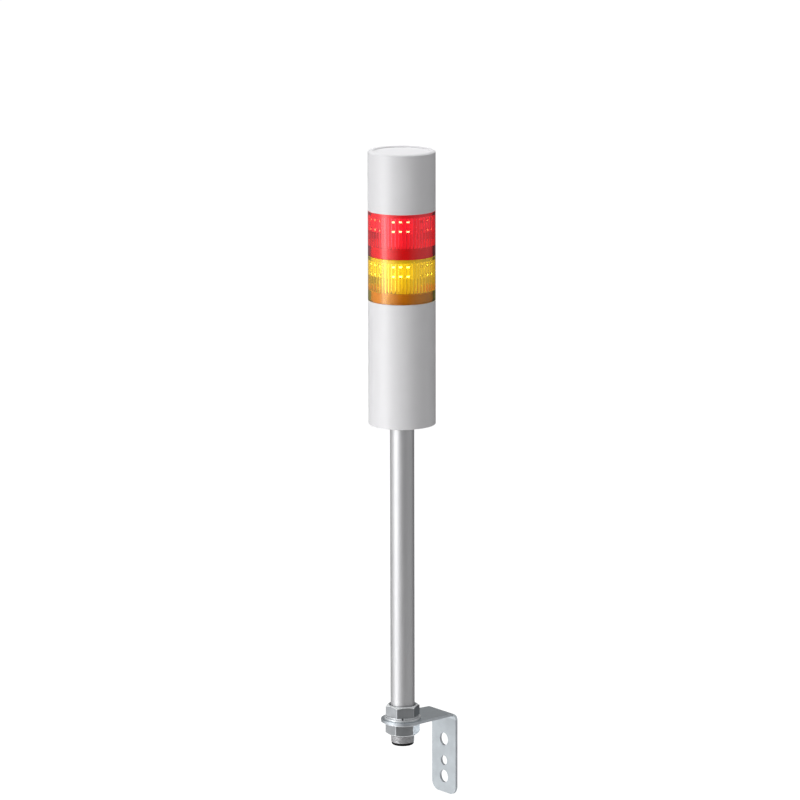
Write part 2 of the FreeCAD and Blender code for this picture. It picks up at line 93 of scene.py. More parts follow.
def put_down(piece):
    """Closes the mesh and moves its place into its points, so that the piece sits at the origin."""
    bpy.ops.object.mode_set(mode="OBJECT")
    bpy.ops.object.select_all(action="DESELECT")
    piece.select_set(True)
    bpy.context.view_layer.objects.active = piece
    bpy.ops.object.transform_apply(location=True, rotation=True, scale=True)
    return piece


def work(piece, kind, **settings):
    """Adds one modifier to a piece and applies it."""
    bpy.context.view_layer.objects.active = piece
    modifier = piece.modifiers.new(kind, kind)
    for name, value in settings.items():
        setattr(modifier, name, value)
    bpy.ops.object.modifier_apply(modifier=modifier.name)


def cut(piece, tool, operation="DIFFERENCE"):
    """Cuts one solid by another, which is then thrown away."""
    work(piece, "BOOLEAN", object=tool, operation=operation, solver="EXACT")
    bpy.data.objects.remove(tool)


def drill(piece, radius, place, depth, rotation=(0, 0, 0), steps=72):
    """Drills a round hole in a piece."""
    bit = begin(bpy.ops.mesh.primitive_cylinder_add, "drill", vertices=steps, radius=radius, depth=depth,
                location=place, rotation=rotation)
    cut(piece, put_down(bit))


def shade(piece, angle=30):
    """Shades the piece smooth, apart from edges sharper than an angle."""
    bpy.ops.object.select_all(action="DESELECT")
    piece.select_set(True)
    bpy.context.view_layer.objects.active = piece
    bpy.ops.object.shade_smooth_by_angle(angle=math.radians(angle))


def soften(piece, width):
    """Rounds the sharp edges to a small radius, and keeps the faces between them flat to the light."""
    work(piece, "BEVEL", width=width, segments=3, limit_method="ANGLE",
         angle_limit=math.radians(30), use_clamp_overlap=True)
    shade(piece)
    work(piece, "WEIGHTED_NORMAL", keep_sharp=True)


def new_finish(name, colour, roughness, metallic=0.0):
    """A named finish: its tree of nodes, its shader, and the place on the piece."""
    finish = bpy.data.materials.new(name)
    finish.use_nodes = True
    tree = finish.node_tree
    shader = tree.nodes["Principled BSDF"]
    shader.inputs["Base Color"].default_value = (*colour, 1)
    shader.inputs["Roughness"].default_value = roughness
    shader.inputs["Metallic"].default_value = metallic
    place = tree.nodes.new("ShaderNodeTexCoord").outputs["Object"]
    return finish, tree, shader, place


def grain(tree, place, size, stretch=(1, 1, 1), detail=4.0):
    """Noise with a grain of this size in metres, pulled out along an axis by stretch."""
    pull = tree.nodes.new("ShaderNodeMapping")
    pull.inputs["Scale"].default_value = [1 / (size * s) for s in stretch]
    noise = tree.nodes.new("ShaderNodeTexNoise")
    noise.inputs["Scale"].default_value = 1.0
    noise.inputs["Detail"].default_value = detail
    tree.links.new(place, pull.inputs["Vector"])
    tree.links.new(pull.outputs["Vector"], noise.inputs["Vector"])
    return noise.outputs["Fac"]


def follow(tree, value, start, end, low, high, how="LINEAR"):
    """A number that goes from low to high while a value goes from start to end."""
    span = tree.nodes.new("ShaderNodeMapRange")
    span.interpolation_type = how
    for socket, number in (("From Min", start), ("From Max", end), ("To Min", low), ("To Max", high)):
        span.inputs[socket].default_value = number
    tree.links.new(value, span.inputs["Value"])
    return span.outputs["Result"]


# Noise seldom leaves this band, so what follows it is spread over the band alone.
noise_band = (0.3, 0.7)


def between(tree, value, low, high):
    """Noise turned into a number between two limits."""
    return follow(tree, value, *noise_band, low, high)


def tint(tree, value, dark, light):
    """Noise turned into a colour between two."""
    ramp = tree.nodes.new("ShaderNodeValToRGB")
    for stop, position, colour in zip(ramp.color_ramp.elements, noise_band, (dark, light)):
        stop.position = position
        stop.color = (*colour, 1)
    tree.links.new(value, ramp.inputs["Fac"])
    return ramp.outputs["Color"]


def relief(tree, shader, value, depth):
    """Noise turned into a fine relief, with its depth in metres."""
    bump = tree.nodes.new("ShaderNodeBump")
    bump.inputs["Distance"].default_value = depth
    tree.links.new(value, bump.inputs["Height"])
    tree.links.new(bump.outputs["Normal"], shader.inputs["Normal"])


def zinc_plate(name, dark, light, roughness, metallic=1.0):
    """Zinc on steel: a cool grey metal, faintly cloudy, over the grain of the steel."""
    finish, tree, shader, place = new_finish(name, light, roughness, metallic)
    cloud = grain(tree, place, 8 * mm)
    tree.links.new(tint(tree, cloud, dark, light), shader.inputs["Base Color"])
    gloss = between(tree, cloud, roughness - 0.02, roughness + 0.02)
    tree.links.new(gloss, shader.inputs["Roughness"])
    relief(tree, shader, grain(tree, place, 0.5 * mm), 0.003 * mm)
    return finish


bracket_low, bracket_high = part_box("bracket")
sheet = 2.3 * mm
fold_radius = 7 * mm
plate_half = 17 * mm
corner_radius = 8.5 * mm
edge_ease = 0.35 * mm
tip_half = 0.2 * mm
wall_hole_radius = 5.8 * mm
wall_hole_level = 17.5 * mm
middle_hole_radius = 4.5 * mm
middle_hole_level = -2.5 * mm
clamp_bore = 10.8 * mm
arm_half = bracket_high.x
arm_top = bracket_high.z
arm_tip = bracket_low.y
pole_y = arm_tip + arm_half
fold_level = arm_top - fold_radius

# The flat sheet of the plate, seen as its wall face, with the two lower corners rounded.
bracket = begin(bpy.ops.mesh.primitive_plane_add, "wall_bracket", size=2 * plate_half,
                location=(0, 0, fold_level - plate_half), rotation=(math.radians(-90), 0, 0))
pick("VERT", lambda p: p.z < fold_level - plate_half)
bpy.ops.transform.translate(value=(0, 0, bracket_low.z - fold_level + 2 * plate_half))
bpy.ops.mesh.bevel(offset=corner_radius, offset_type="OFFSET", segments=14, affect="VERTICES")

# Its upper edge is folded forward, and drawn out as the arm to where the round end takes over.
pick("EDGE", lambda p: p.z > fold_level - mm)
bpy.ops.mesh.spin(steps=16, angle=math.radians(-90), center=(0, -fold_radius, fold_level),
                  axis=(1, 0, 0))
reach = -pole_y - fold_radius
lean = math.acos(arm_half / math.hypot(reach, plate_half)) - math.atan2(reach, plate_half)
round_steps = 26
half_width, level_y = plate_half, -fold_radius
for step in range(round_steps + 1):
    angle = lean + (math.radians(90) - lean) * step / round_steps
    wanted = max(arm_half * math.cos(angle), tip_half)
    wanted_y = pole_y - arm_half * math.sin(angle)
    bpy.ops.mesh.extrude_region_move(TRANSFORM_OT_translate={"value": (0, wanted_y - level_y, 0)})
    bpy.ops.transform.resize(value=(wanted / half_width, 1, 1), center_override=(0, wanted_y, arm_top))
    half_width, level_y = wanted, wanted_y
put_down(bracket)
work(bracket, "SOLIDIFY", thickness=sheet, offset=-1, use_even_offset=True)

for level, radius in ((wall_hole_level, wall_hole_radius), (middle_hole_level, middle_hole_radius),
                      (-wall_hole_level, wall_hole_radius)):
    drill(bracket, radius, (0, 0, level), 6 * sheet, (math.radians(90), 0, 0))
drill(bracket, clamp_bore, (0, pole_y, arm_top), 4 * sheet)
soften(bracket, edge_ease)

# The faces that the shears and the punch left, midway through the sheet, are rougher. They are also
# painted darker, as painted shade on the hole walls and along the cut edges.
bracket.data.materials.append(
    zinc_plate("zinc_on_sheet", (0.62, 0.665, 0.70), (0.68, 0.73, 0.765), 0.36))
bracket.data.materials.append(
    zinc_plate("zinc_on_cut_edges_painted_shade", (0.44, 0.47, 0.50), (0.52, 0.55, 0.58), 0.5))
midway = 0.3 * mm
pick_up(bracket)
coat(bracket, 1, lambda p: abs(p.z - arm_top + sheet / 2) < midway
     or (abs(p.y + sheet / 2) < midway and p.z < fold_level))
put_down(bracket)
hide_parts("bracket")
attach(bracket, "body_and_pole")


# ---- Pole ----
# Drawn aluminium tube, satin anodised, turned down at its foot for a fine thread of 1 mm pitch.
# It stands in the arm's hole, clamped there by the two nuts, and carries the housing on its top.
same_place = 0.002 * mm


def turn(name, outline, steps):
    """A round piece: one point drawn along its half section, closed, and spun about the pole."""
    radius, level = outline[0]
    piece = begin(bpy.ops.mesh.primitive_plane_add, name, size=0.1 * mm,
                  location=(radius, pole_y, level))
    bpy.ops.mesh.merge(type="CENTER")
    for (r, z), (next_r, next_z) in zip(outline, outline[1:] + outline[:1]):
        step = (next_r - r, 0, next_z - z)
        bpy.ops.mesh.extrude_region_move(TRANSFORM_OT_translate={"value": step})
    bpy.ops.mesh.select_all(action="SELECT")
    bpy.ops.mesh.remove_doubles(threshold=same_place)
    bpy.ops.mesh.spin(steps=steps, angle=math.radians(360), center=(0, pole_y, 0), axis=(0, 0, 1))
    bpy.ops.mesh.select_all(action="SELECT")
    bpy.ops.mesh.remove_doubles(threshold=same_place)
    bpy.ops.mesh.normals_make_consistent(inside=False)
    return put_down(piece)


def drawn_aluminium():
    """Satin anodised tube: fine streaks along its length, where it was drawn and then brushed."""
    finish, tree, shader, place = new_finish("drawn_aluminium", (0.54, 0.54, 0.55), 0.47, metallic=0.65)
    streaks = grain(tree, place, 0.16 * mm, (1, 1, 160), detail=3)
    cloud = grain(tree, place, 6 * mm, (1, 1, 5))
    greys = tint(tree, streaks, (0.52, 0.52, 0.53), (0.56, 0.56, 0.57))
    tree.links.new(greys, shader.inputs["Base Color"])
    tree.links.new(between(tree, cloud, 0.44, 0.50), shader.inputs["Roughness"])
    relief(tree, shader, streaks, 0.003 * mm)
    return finish


pole_low, pole_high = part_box("pole")
pole_radius = pole_high.x
thread_radius = 10.45 * mm
bore_radius = 8.35 * mm
shoulder_below_nut_top = 0.4 * mm
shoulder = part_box("upper_nut")[1].z - shoulder_below_nut_top
end_ease = 0.5 * mm
thread_run_out = 0.3 * mm
pole = turn("threaded_pole", [
    (bore_radius, pole_low.z + end_ease),
    (bore_radius + end_ease, pole_low.z),
    (thread_radius - end_ease, pole_low.z),
    (thread_radius, pole_low.z + end_ease),
    (thread_radius, shoulder - thread_run_out),
    (pole_radius, shoulder),
    (pole_radius, pole_high.z),
    (bore_radius, pole_high.z),
], steps=192)

# The thread is a V groove cut round the foot: one small triangle wound up the pole as a helix.
pitch = 1.0 * mm
groove_depth = 0.55 * mm
turns = int((shoulder - pole_low.z) / pitch)
groove = begin(bpy.ops.mesh.primitive_circle_add, "thread_cutter", vertices=3, radius=groove_depth,
               location=(thread_radius, 0, pole_low.z - pitch / 2),
               rotation=(math.radians(90), math.radians(-90), 0))
put_down(groove)
work(groove, "SCREW", angle=math.radians(360), screw_offset=pitch, iterations=turns, steps=64,
     render_steps=64, axis="Z")
pick_up(groove)
bpy.ops.mesh.fill_holes(sides=4)
bpy.ops.mesh.normals_make_consistent(inside=False)
bpy.ops.transform.translate(value=(0, pole_y, 0))
put_down(groove)
cut(pole, groove)
shade(pole, 25)
pole.data.materials.append(drawn_aluminium())
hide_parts("pole")
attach(pole, "body_and_pole")


# ---- End bush ----
# Soft black rubber, pushed into the foot of the pole. Its rounded flange hides the cut end of the tube,
# and its hole is where the leads would leave.
def arc(radius, level, size, start, end, steps):
    """Points of a round corner in a half section, from one angle to another about its centre."""
    angles = [math.radians(start + (end - start) * i / steps) for i in range(steps + 1)]
    return [(radius + size * math.cos(a), level + size * math.sin(a)) for a in angles]


def soft_rubber(name, shade_of_grey):
    """Matt black rubber with a faint bloom and the fine pitting of its mould."""
    grey = (shade_of_grey,) * 3
    finish, tree, shader, place = new_finish(name, grey, 0.5)
    shader.inputs["Specular IOR Level"].default_value = 0.12
    bloom = grain(tree, place, 2.5 * mm)
    tree.links.new(tint(tree, bloom, grey, (shade_of_grey * 1.6,) * 3), shader.inputs["Base Color"])
    tree.links.new(between(tree, bloom, 0.42, 0.58), shader.inputs["Roughness"])
    relief(tree, shader, grain(tree, place, 0.3 * mm), 0.01 * mm)
    return finish


bush_low, bush_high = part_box("pole_bush")
flange_radius = bush_high.x
lead_hole = 5.0 * mm
lip = 1.2 * mm
mouth = 0.5 * mm
bush_fit = 0.1 * mm
bush_radius = bore_radius - bush_fit
bush = turn("end_bush", [
    *arc(lead_hole + mouth, bush_low.z + mouth, mouth, 180, 270, 4),
    *arc(flange_radius - lip, bush_low.z + lip, lip, 270, 360, 8),
    (flange_radius, pole_low.z),
    (bush_radius, pole_low.z),
    (bush_radius, bush_high.z - mouth),
    (bush_radius - mouth, bush_high.z),
    (lead_hole, bush_high.z),
], steps=96)
shade(bush)
bush.data.materials.append(soft_rubber("bush_rubber", 0.004))
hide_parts("pole_bush")
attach(bush, "body_and_pole")


# ---- Washers ----
# Two plain washers of stamped steel, one on each side of the arm, and a split spring washer under the
# upper nut, pressed flat. All are zinc plated in a barrel, which leaves them duller than the nuts.
def swing(angle, level):
    """Turns what is selected about the pole. The operator turns the other way round, hence the sign."""
    bpy.ops.transform.rotate(value=-angle, orient_axis="Z", center_override=(0, pole_y, level))


stamped_zinc = zinc_plate("zinc_on_washers", (0.62, 0.635, 0.65), (0.70, 0.715, 0.73), 0.46,
                          metallic=0.7)
washer_ease = 0.3 * mm
slit_width = 1.6 * mm
slit_height = 4 * mm
slit_angle = math.radians(-38)
for node in ("lower_washer", "upper_washer", "lock_washer"):
    low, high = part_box(node)
    ring = turn(node + "_ring", [
        (clamp_bore, low.z), (high.x, low.z), (high.x, high.z), (clamp_bore, high.z)], steps=120)
    if node == "lock_washer":
        slit = begin(bpy.ops.mesh.primitive_cube_add, "slit", size=1, location=(high.x, pole_y, low.z),
                     scale=(high.x, slit_width, slit_height))
        swing(slit_angle, low.z)
        cut(ring, put_down(slit))
    soften(ring, washer_ease)
    ring.data.materials.append(stamped_zinc)
    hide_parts(node)
    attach(ring, "body_and_pole")


# ---- Hexagon nuts ----
# Two pipe nuts cut from hexagon bar and zinc plated. Each has one face chamfered in the lathe, which
# leaves the round arcs on its six sides, and they were tightened a few degrees out of line.
def from_pole(place):
    """How far a place is from the middle line of the pole."""
    return math.hypot(place.x, place.y - pole_y)


across_flats = 27 * mm
nut_bore = 10.55 * mm
nut_mouth = 11.2 * mm
mouth_step = 0.75 * mm
nut_ease = 0.25 * mm
corner = across_flats / 2 / math.cos(math.radians(30))
face_radius = 0.47 * across_flats
slope = math.tan(math.radians(30))
overhang = 2 * mm
rim_reach = 0.1 * mm
cone_reach = 0.2 * mm
nut_zinc = zinc_plate("zinc_on_nuts", (0.50, 0.52, 0.54), (0.57, 0.59, 0.61), 0.30)
# The turned chamfer arcs take a rougher zinc. Its lighter, partly diffuse colour is also a painted
# highlight for the light the chamfers catch.
turned_zinc_painted_highlight = zinc_plate("zinc_on_chamfers", (0.80, 0.82, 0.83), (0.86, 0.88, 0.89), 0.50,
                         metallic=0.3)
for node, nut_turn, chamfer_up in (("lower_nut", -2, False), ("upper_nut", 2, True)):
    low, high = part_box(node)
    flat_end, round_end = (low.z, high.z) if chamfer_up else (high.z, low.z)
    inward = 1 if flat_end < round_end else -1
    nut = begin(bpy.ops.mesh.primitive_cylinder_add, node + "_hexagon", vertices=6, radius=corner,
                depth=high.z - low.z, location=(0, pole_y, (low.z + high.z) / 2),
                rotation=(0, 0, math.radians(30 + nut_turn)))
    put_down(nut)
    lathe_form = turn("lathe_form", [
        (nut_bore, flat_end + inward * (nut_mouth - nut_bore)),
        (nut_mouth, flat_end),
        (nut_mouth, flat_end - inward * mm),
        (corner + overhang, flat_end - inward * mm),
        (corner + overhang, round_end - inward * (corner + overhang - face_radius) * slope),
        (face_radius - overhang, round_end + inward * overhang * slope),
        (nut_mouth, round_end + inward * overhang * slope),
        (nut_mouth, round_end - inward * mouth_step),
        (nut_bore, round_end - inward * (mouth_step + nut_mouth - nut_bore)),
    ], steps=120)
    cut(nut, lathe_form, "INTERSECT")
    soften(nut, nut_ease)
    nut.data.materials.append(nut_zinc)
    nut.data.materials.append(turned_zinc_painted_highlight)
    pick_up(nut)
    coat(nut, 1, lambda p: from_pole(p) > face_radius - rim_reach
         and abs(p.z - round_end + inward * (from_pole(p) - face_radius) * slope) < cone_reach)
    put_down(nut)
    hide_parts(node)
    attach(nut, "body_and_pole")


# ---- Pole holder and its screws ----
# A die-cast flanged sleeve inside the lower body: two grub screws grip the pole in it, and three screws
# hold its flange down on the floor of the body.
def dress(finish, *names):
    """Gives a finish to pieces that keep their own shape."""
    for name in names:
        nodes[name].material_slots[0].material = finish


def cast_zinc():
    """Die-cast zinc, dull and slightly flowed."""
    finish, tree, shader, place = new_finish("cast_zinc", (0.42, 0.42, 0.43), 0.45, metallic=1.0)
    flow = grain(tree, place, 3 * mm, (1, 1, 2))
    greys = tint(tree, flow, (0.36, 0.36, 0.37), (0.48, 0.48, 0.49))
    tree.links.new(greys, shader.inputs["Base Color"])
    tree.links.new(between(tree, flow, 0.38, 0.55), shader.inputs["Roughness"])
    relief(tree, shader, grain(tree, place, 0.6 * mm), 0.02 * mm)
    return finish


dress(cast_zinc(), "pole_holder")
dress(zinc_plate("zinc_on_screws", (0.46, 0.46, 0.47), (0.62, 0.62, 0.63), 0.3),
      "holder_screws", "grub_screws", "board_screws")


# ---- Lower body ----
# A deep cup moulded in white plastic, with a fine satin texture from its mould. The pole comes up
# through its floor, and its rim takes the lowest light unit.
def shell_plastic():
    """White moulded plastic with a satin spark-eroded texture."""
    finish, tree, shader, place = new_finish("white_shell", (0.81, 0.805, 0.82), 0.4)
    cloud = grain(tree, place, 20 * mm)
    whites = tint(tree, cloud, (0.80, 0.795, 0.81), (0.82, 0.815, 0.83))
    tree.links.new(whites, shader.inputs["Base Color"])
    tree.links.new(between(tree, cloud, 0.37, 0.44), shader.inputs["Roughness"])
    relief(tree, shader, grain(tree, place, 0.35 * mm), 0.006 * mm)
    return finish


white_shell = shell_plastic()
dress(white_shell, "lower_body")


# ---- Wiring board and terminals ----
# A round board stands on three posts in the lower body. The leads from the pole come up through its
# middle and end in a row of grey screw terminals.
def board_laminate():
    """Green solder mask over glass cloth, whose weave shows as a faint relief."""
    finish, tree, shader, place = new_finish("board_laminate", (0.02, 0.13, 0.06), 0.35)
    cloud = grain(tree, place, 4 * mm)
    greens = tint(tree, cloud, (0.015, 0.10, 0.045), (0.03, 0.16, 0.07))
    tree.links.new(greens, shader.inputs["Base Color"])
    weave = tree.nodes.new("ShaderNodeTexWave")
    weave.inputs["Scale"].default_value = 900
    tree.links.new(place, weave.inputs["Vector"])
    relief(tree, shader, weave.outputs["Fac"], 0.01 * mm)
    return finish


def moulded_plastic(name, dark, light, roughness):
    """Plain moulded plastic for the inner pieces, a little uneven in colour and gloss."""
    finish, tree, shader, place = new_finish(name, light, roughness)
    cloud = grain(tree, place, 6 * mm)
    tree.links.new(tint(tree, cloud, dark, light), shader.inputs["Base Color"])
    gloss = between(tree, cloud, roughness - 0.05, roughness + 0.05)
    tree.links.new(gloss, shader.inputs["Roughness"])
    relief(tree, shader, grain(tree, place, 0.4 * mm), 0.008 * mm)
    return finish


laminate = board_laminate()
dress(laminate, "terminal_board")
dress(moulded_plastic("terminal_grey", (0.30, 0.31, 0.32), (0.36, 0.37, 0.38), 0.45), "terminal_block")


# ---- Twist-lock sockets and contact boards ----
# Each tier ends in a moulded socket: a plate with three entry notches over a track with stops. The
# board below it has the lands that the spring pins of the next tier press on.
socket_plastic = moulded_plastic("socket_plastic", (0.20, 0.20, 0.21), (0.26, 0.26, 0.27), 0.5)
dress(socket_plastic, "body_socket")
dress(laminate, "body_contact_board", "amber_contact_board", "red_contact_board")


# ---- Bases of the light units and of the head ----
# An orange-brown moulded floor with a skirt inside the foot of the shell, and a spigot with three lugs
# below. Brass spring pins pass through it, and a flat rubber ring seals it to the tier below. The red
# unit's base has a faint painted glow, which stands in for the light of its own LEDs.
def turned_brass():
    """Brass pins, bright with faint turning marks."""
    finish, tree, shader, place = new_finish("turned_brass", (0.80, 0.56, 0.24), 0.25, metallic=1.0)
    marks = grain(tree, place, 0.5 * mm, (4, 4, 0.4))
    yellows = tint(tree, marks, (0.70, 0.47, 0.19), (0.85, 0.62, 0.28))
    tree.links.new(yellows, shader.inputs["Base Color"])
    relief(tree, shader, marks, 0.005 * mm)
    return finish


brass = turned_brass()
seal_rubber = soft_rubber("seal_rubber", 0.03)
base_plastic = moulded_plastic("base_plastic", (0.74, 0.32, 0.12), (0.82, 0.37, 0.15), 0.45)
dress(base_plastic, "amber_base", "head_base")
painted_base_glow = 0.16
# Painted glow: emission on the red base's plastic, in place of the light of its LEDs.
painted_glow_base_plastic = moulded_plastic("painted_glow_base_plastic", (0.72, 0.34, 0.20), (0.80, 0.40, 0.24), 0.45)
shader = painted_glow_base_plastic.node_tree.nodes["Principled BSDF"]
shader.inputs["Emission Color"].default_value = (1, 0.2, 0.15, 1)
shader.inputs["Emission Strength"].default_value = painted_base_glow
dress(painted_glow_base_plastic, "red_base")
dress(seal_rubber, "amber_gasket", "red_gasket", "head_gasket")
dress(brass, "amber_pins", "red_pins", "head_pins")


# ---- LED carriers and strips ----
# A white moulding on the base: a hollow stem, and on it a drum with six flats. A strip of circuit board
# with a white mask lies on each flat. The moulding and its strips carry a painted glow in place of the
# lit LEDs' light: faint on the stem, a little more on the drum, and most on the strips.
def painted_glow_white(name, painted_glow, low, high, faint, strong):
    """White plastic with a painted glow in place of the LEDs' light, stronger above a level."""
    finish = moulded_plastic(name, (0.94 * pale_white,) * 3, (pale_white,) * 3, 0.45)
    tree = finish.node_tree
    shader = tree.nodes["Principled BSDF"]
    shader.inputs["Emission Color"].default_value = (*painted_glow, 1)
    level = tree.nodes.new("ShaderNodeSeparateXYZ")
    tree.links.new(tree.nodes["Texture Coordinate"].outputs["Object"], level.inputs["Vector"])
    rise = follow(tree, level.outputs["Z"], low, high, faint, strong, "SMOOTHSTEP")
    tree.links.new(rise, shader.inputs["Emission Strength"])
    return finish


pale_white = 0.86
# Strengths of the painted glow on the stem, the drum and the strips.
painted_stem_glow = 0.21
painted_drum_glow = 0.22
painted_strip_glow = 0.38
drum_foot = 22 * mm
for unit, painted_glow in (("amber", (1.0, 0.76, 0.30)), ("red", (1.0, 0.40, 0.45))):
    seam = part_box(unit + "_lens")[0].z
    low, high = seam + drum_foot - mm, seam + drum_foot + mm
    dress(painted_glow_white(unit + "_carrier_plastic", painted_glow, low, high, painted_stem_glow, painted_drum_glow),
          unit + "_led_carrier", unit + "_socket")
    dress(painted_glow_white(unit + "_strip_board", painted_glow, low, high, painted_stem_glow, painted_strip_glow),
          unit + "_led_strips")


# ---- LEDs ----
# Surface-mounted packages, three side by side in each of two rows on every strip. Each is a pale square
# body with a small round cup of phosphor under a clear dome. The cup lets it shine forwards only.
def clear_dome():
    """Clear silicone, as soft and smooth as it sets."""
    finish, tree, shader, place = new_finish("clear_dome", (0.97, 0.96, 0.90), 0.05)
    shader.inputs["Transmission Weight"].default_value = 1.0
    shader.inputs["IOR"].default_value = 1.41
    relief(tree, shader, grain(tree, place, 1.5 * mm), 0.002 * mm)
    return finish


def lit_phosphor(name, colour, strength):
    """The phosphor fill over the die of a lit LED, a little uneven."""
    finish, tree, shader, place = new_finish(name, (0.9, 0.85, 0.6), 0.5)
    shader.inputs["Emission Color"].default_value = (*colour, 1)
    uneven = between(tree, grain(tree, place, 0.4 * mm), 0.9 * strength, 1.1 * strength)
    tree.links.new(uneven, shader.inputs["Emission Strength"])
    return finish


first_strip = math.radians(-38)
strip_count = 6
leds_across = 3
led_pitch = 6.3 * mm
led_aside = 0.6 * mm
package_face = 23.7 * mm
package_size = (0.9 * mm, 3.2 * mm, 2.8 * mm)
package_ease = 0.15 * mm
dome_radius = 1.25 * mm
dome_height = 0.9 * mm
dome_gap = 0.01 * mm
dome_ball = (dome_radius ** 2 + dome_height ** 2) / (2 * dome_height)
cup_radius = 0.8 * mm
cup_depth = 0.7 * mm
fill_radius = 0.55 * mm
fill_depth = 0.1 * mm
led_strength = 30.0
on_its_side = (0, math.radians(90), 0)
package_plastic = moulded_plastic("led_package_plastic", (0.78, 0.74, 0.62), (0.85, 0.81, 0.70), 0.35)
dome_clear = clear_dome()
for unit, colour in (("amber", (1.0, 1.0, 0.85)), ("red", (1.0, 0.95, 0.30))):
    low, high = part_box(unit + "_leds")
    level = low.z + package_size[2] / 2
    rows_apart = high.z - low.z - package_size[2]
    across = pole_y - led_aside - led_pitch * (leds_across - 1) / 2

    lamps = begin(bpy.ops.mesh.primitive_cube_add, unit + "_led_lamps", size=1, scale=package_size,
                  location=(package_face - package_size[0] / 2, across, level))
    bpy.ops.mesh.bevel(offset=package_ease, segments=1, affect="EDGES")
    put_down(lamps)
    drill(lamps, cup_radius, (package_face, across, level), 2 * cup_depth, on_its_side, steps=20)
    lamps.data.materials.append(package_plastic)
    fill = begin(bpy.ops.mesh.primitive_cylinder_add, "led_fill", vertices=20, radius=fill_radius,
                 depth=fill_depth, rotation=on_its_side,
                 location=(package_face - cup_depth + fill_depth / 2, across, level))
    put_down(fill)
    fill.data.materials.append(lit_phosphor(unit + "_lit_phosphor", colour, led_strength))
    dome = begin(bpy.ops.mesh.primitive_uv_sphere_add, "led_dome", segments=20, ring_count=16,
                 radius=dome_ball, rotation=on_its_side,
                 location=(package_face + dome_height - dome_ball, across, level))
    bpy.ops.mesh.bisect(plane_co=(package_face + dome_gap, across, level), plane_no=(1, 0, 0),
                        clear_inner=True, use_fill=True)
    put_down(dome)
    dome.data.materials.append(dome_clear)
    bpy.ops.object.select_all(action="DESELECT")
    for piece in (fill, dome, lamps):
        piece.select_set(True)
    bpy.context.view_layer.objects.active = lamps
    bpy.ops.object.join()

    # The first LED is copied up, then across, and then the whole strip round the drum.
    pick_up(lamps)
    bpy.ops.mesh.duplicate_move(TRANSFORM_OT_translate={"value": (0, 0, rows_apart)})
    bpy.ops.mesh.select_all(action="SELECT")
    for i in range(leds_across - 1):
        bpy.ops.mesh.duplicate_move(TRANSFORM_OT_translate={"value": (0, led_pitch, 0)})
    bpy.ops.mesh.select_all(action="SELECT")
    swing(first_strip, level)
    for i in range(strip_count - 1):
        bpy.ops.mesh.duplicate()
        swing(math.radians(360 / strip_count), level)
    put_down(lamps)
    shade(lamps, 35)
    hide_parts(unit + "_leds")
    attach(lamps, unit + "_unit")


# ---- Lenses ----
# Each lens is one deep ring of clear coloured plastic. Its outside is smooth and glossy. Inside it has
# round upright flutes that spread the light, above a plain band that fits round the base.
def swap(tree, rays, usual, instead):
    """One surface for most rays, and another for the rays of a kind."""
    choose = tree.nodes.new("ShaderNodeMixShader")
    tree.links.new(rays, choose.inputs["Fac"])
    tree.links.new(usual, choose.inputs[1])
    tree.links.new(instead, choose.inputs[2])
    return choose.outputs["Shader"]


def lens_plastic(name, colour, shadow_tint, roughness, polish, painted_glow):
    """Clear coloured plastic. Light reaches the inside through it, tinted, as it would through the wall.
    It has a faint painted glow, in place of the LEDs' light caught in it."""
    finish, tree, shader, place = new_finish(name, colour, roughness)
    shader.inputs["Transmission Weight"].default_value = 1.0
    shader.inputs["IOR"].default_value = 1.49
    shader.inputs["Coat Weight"].default_value = polish
    shader.inputs["Emission Color"].default_value = (*painted_glow, 1)
    shader.inputs["Emission Strength"].default_value = 1.0
    relief(tree, shader, grain(tree, place, 8 * mm), 0.003 * mm)
    passing = tree.nodes.new("ShaderNodeBsdfTransparent")
    passing.inputs["Color"].default_value = (*shadow_tint, 1)
    shadows = tree.nodes.new("ShaderNodeLightPath").outputs["Is Shadow Ray"]
    surface = swap(tree, shadows, shader.outputs["BSDF"], passing.outputs["BSDF"])
    tree.links.new(surface, tree.nodes["Material Output"].inputs["Surface"])
    return finish


def flute_step(place):
    """Which point of its flute a place on the bore is at, counted round from the flute's edge."""
    turned = math.atan2(place.y - pole_y, place.x) - flute_phase
    return round(turned / math.radians(360) * flute_count * facets) % facets


